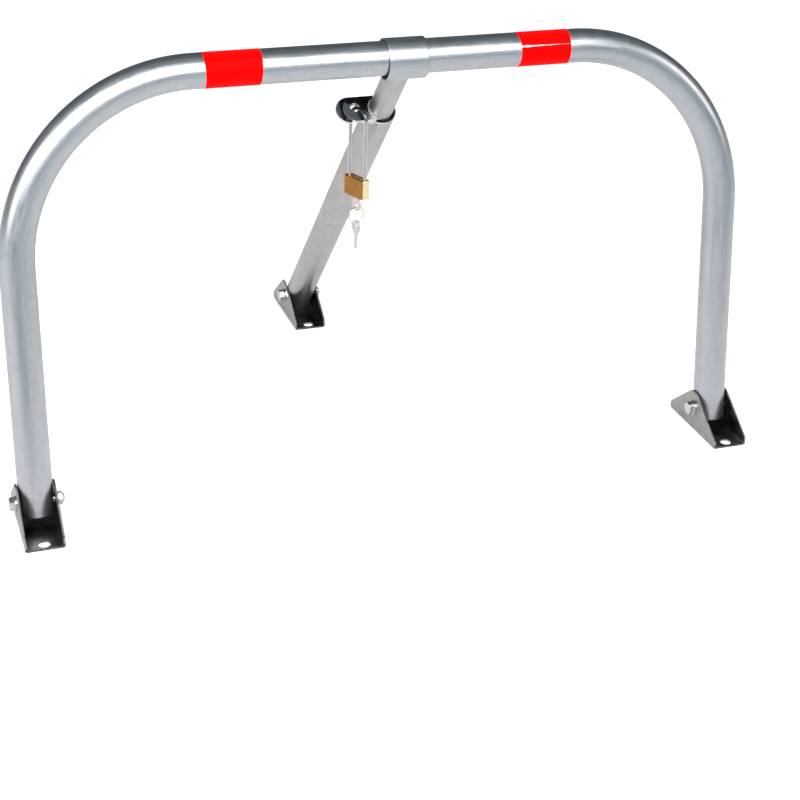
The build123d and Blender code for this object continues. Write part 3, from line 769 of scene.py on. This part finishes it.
# ---------------------------------------------------------------- key ring
def split_ring():
    """Two tight turns of wire."""
    low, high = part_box("key_ring")
    centre = (low + high) / 2
    axis = Z.cross(Vector(joint("key_ring_swing")["axis"])).normalized()
    flat = axis.cross(Z)
    wire, fit = 0.55 * MM, 0.98
    radius = (high.z - low.z) / 2 - 2 * wire
    turns, steps, start = 2, 288, radians(200)
    points = []
    for i in range(steps + 1):
        angle = start + turns * tau * i / steps
        rise = wire * (turns * i / steps - 1)
        points.append(centre + (flat * cos(angle) + Z * sin(angle)) * radius + axis * rise)
    return rope(points, wire * fit)


new_piece("split_ring", split_ring(), key_nickel, "ring", "key_ring", slot="key_nickel")


# ---------------------------------------------------------------- CAD nodes that stay
PLATE_EDGE, CYLINDER_EDGE, KEY_EDGE = 0.35 * MM, 0.12 * MM, 0.15 * MM


def finish_node(node, material, edge=0.0, edge_highlight_material=None):
    """Paint a CAD node and, with edge, round its edges off by that much. A second material, if given,
    paints a highlight on the rounded edges.
    """
    piece = frame["nodes"][node]
    for i in range(len(piece.data.materials)):
        piece.data.materials[i] = material
    if edge:
        weld = piece.modifiers.new("join", "WELD")
        weld.merge_threshold = 0.002 * MM
        bevel = piece.modifiers.new("edge", "BEVEL")
        bevel.width, bevel.segments, bevel.limit_method = edge, 3, "ANGLE"
        bevel.angle_limit = radians(40)
        if edge_highlight_material:
            piece.data.materials.append(edge_highlight_material)
            bevel.material = len(piece.data.materials) - 1
        even = piece.modifiers.new("even", "WEIGHTED_NORMAL")
        even.keep_sharp = False


for foot_node in FEET:
    finish_node(foot_node, bracket_material(foot_node), PLATE_EDGE)
# The upper ear takes painted shadow and dark reflection beyond a slanting line near its middle, the
# lower one nearly all over.
for ear, direction, start, end in (
    ("upper_lock_ear", X * 0.47 + STRUT_BACK * 0.88, -1.5 * MM, 0.5 * MM),
    ("lower_lock_ear", X, -20 * MM, -17 * MM),
):
    finish_node(ear, ear_material(ear, direction, start, end), PLATE_EDGE, edge_highlight_zinc)
for node, material, edge in (
    ("padlock_case", case_brass, 0.0),
    ("padlock_cylinder", pin_brass, CYLINDER_EDGE),
    ("padlock_shackle", shackle_chrome, 0.0),
    ("padlock_key", key_nickel, KEY_EDGE),
    ("spare_key", key_nickel, KEY_EDGE),
    ("heel_retaining_pin", chrome, 0.0),
    ("cylinder_retaining_pin", chrome, 0.0),
    ("padlock_latch", chrome, 0.0),
    ("pin_springs", spring_wire, 0.0),
    ("key_pins", pin_brass, 0.0),
    ("driver_pins", pin_brass, 0.0),
    ("chamber_plugs", pin_brass, 0.0),
):
    finish_node(node, material, edge)


# ---------------------------------------------------------------- floor, light and camera
# Centre of the painted dark patch in the floor's reflected colour.
DARK_PATCH = Vector((-0.60, -0.62, 0.0))
WHITE = rgb(1.0, 1.0, 1.0)
TARGET = Vector((0.002, 0.046, 0.179))
CAMERA_YAW, CAMERA_PITCH, CAMERA_ROLL = radians(19.98), radians(24.91), radians(2.01)
CAMERA_DISTANCE = 1.769
LENS, SENSOR_WIDTH, SHIFT_Y = 76.83, 36.0, -0.1004


def floor():
    """Plain pale floor. Metal mirrors it darker in front, and darkest round a dark patch painted into
    what reflections see.
    """
    half, drop = 30.0, 0.2 * MM
    bm = bmesh.new()
    corners = ((-1, -1), (1, -1), (1, 1), (-1, 1))
    bm.faces.new([bm.verts.new((x * half, y * half, -drop)) for x, y in corners])
    mesh = bpy.data.meshes.new("floor")
    bm.to_mesh(mesh)
    bm.free()
    shade = Shade("floor", Roughness=0.95)
    shade.surface.inputs["Specular IOR Level"].default_value = 0.0
    paper = shade.mix(shade.noise(EVEN, 2.0, 2.0), rgb(0.90, 0.90, 0.90), rgb(0.93, 0.93, 0.93))
    away = shade.span(shade.coords("Object", "Y"), -1.1, 0.1)
    mirrored = shade.mix(away, rgb(0.245, 0.28, 0.31), rgb(0.525, 0.515, 0.52))
    # Painted dark reflection: a patch of the floor's reflected colour that only metal shows.
    patch_distance = shade.vector("DISTANCE", shade.place(EVEN), DARK_PATCH)
    dark_patch = shade.span(patch_distance, 0.12, 0.50, 0.95, 0.0)
    mirrored = shade.mix(dark_patch, mirrored, rgb(0.09, 0.125, 0.155))
    glossy = shade.add("LightPath").outputs["Is Glossy Ray"]
    shade.feed("Base Color", shade.mix(glossy, paper, mirrored))
    mesh.materials.append(shade.material)
    piece = bpy.data.objects.new("floor", mesh)
    bpy.context.scene.collection.objects.link(piece)


def look_along(piece, forward, roll=0.0):
    """Turn a light or camera to look along a direction, rolled about it."""
    right = forward.cross(Z).normalized()
    up = right.cross(forward)
    turned_right = right * cos(roll) + up * sin(roll)
    turned_up = up * cos(roll) - right * sin(roll)
    matrix = piece.matrix_world.to_3x3()
    for column, vector in enumerate((turned_right, turned_up, -forward)):
        matrix.col[column] = vector
    piece.matrix_world = matrix.to_4x4()


def softbox(name, direction, distance, size, power):
    """Large area light in a direction from the object, facing it."""
    light = bpy.data.lights.new(name, "AREA")
    light.shape, light.size, light.size_y = "RECTANGLE", *size
    light.energy = power
    lamp = bpy.data.objects.new(name, light)
    bpy.context.scene.collection.objects.link(lamp)
    direction = Vector(direction).normalized()
    look_along(lamp, -direction)
    lamp.location = TARGET + direction * distance


def surroundings():
    """Even white light all round. Metal mirrors it dark above and behind, lighter in front."""
    world = bpy.data.worlds.new("studio")
    bpy.context.scene.world = world
    world.use_nodes = True
    world.node_tree.nodes.clear()
    sky = Nodes(world.node_tree)
    front = Vector((-0.35, -0.9, 0.1)).normalized()
    facing = sky.vector("DOT_PRODUCT", sky.add("TexCoord").outputs["Generated"], front)
    amount = sky.span(facing, -0.45, 0.75)
    mirrored = sky.mix(amount, rgb(0.075, 0.095, 0.11), rgb(0.34, 0.385, 0.42))
    glossy = sky.add("LightPath").outputs["Is Glossy Ray"]
    background = sky.add("Background", {"Color": sky.mix(glossy, WHITE, mirrored)})
    sky.add("OutputWorld", {"Surface": background.outputs[0]})


def camera():
    """Camera at the photograph's angle."""
    level = Vector((-sin(CAMERA_YAW), -cos(CAMERA_YAW), 0.0))
    back = level * cos(CAMERA_PITCH) + Z * sin(CAMERA_PITCH)
    data = bpy.data.cameras.new("camera")
    data.lens, data.sensor_width, data.shift_y = LENS, SENSOR_WIDTH, SHIFT_Y
    piece = bpy.data.objects.new("camera", data)
    bpy.context.scene.collection.objects.link(piece)
    look_along(piece, -back, CAMERA_ROLL)
    piece.location = TARGET + back * CAMERA_DISTANCE
    bpy.context.scene.camera = piece


floor()
softbox("key_light", (-0.25, -0.95, 0.9), 2.6, (3.6, 1.6), 128)
softbox("left_light", (-1.0, -0.25, 0.4), 2.6, (1.0, 1.4), 16)
softbox("right_light", (1.0, -0.4, 0.4), 3.0, (1.0, 1.4), 12)
surroundings()
camera()
bpy.context.scene.view_settings.view_transform = "Standard"
bpy.context.scene.view_settings.look = "None"
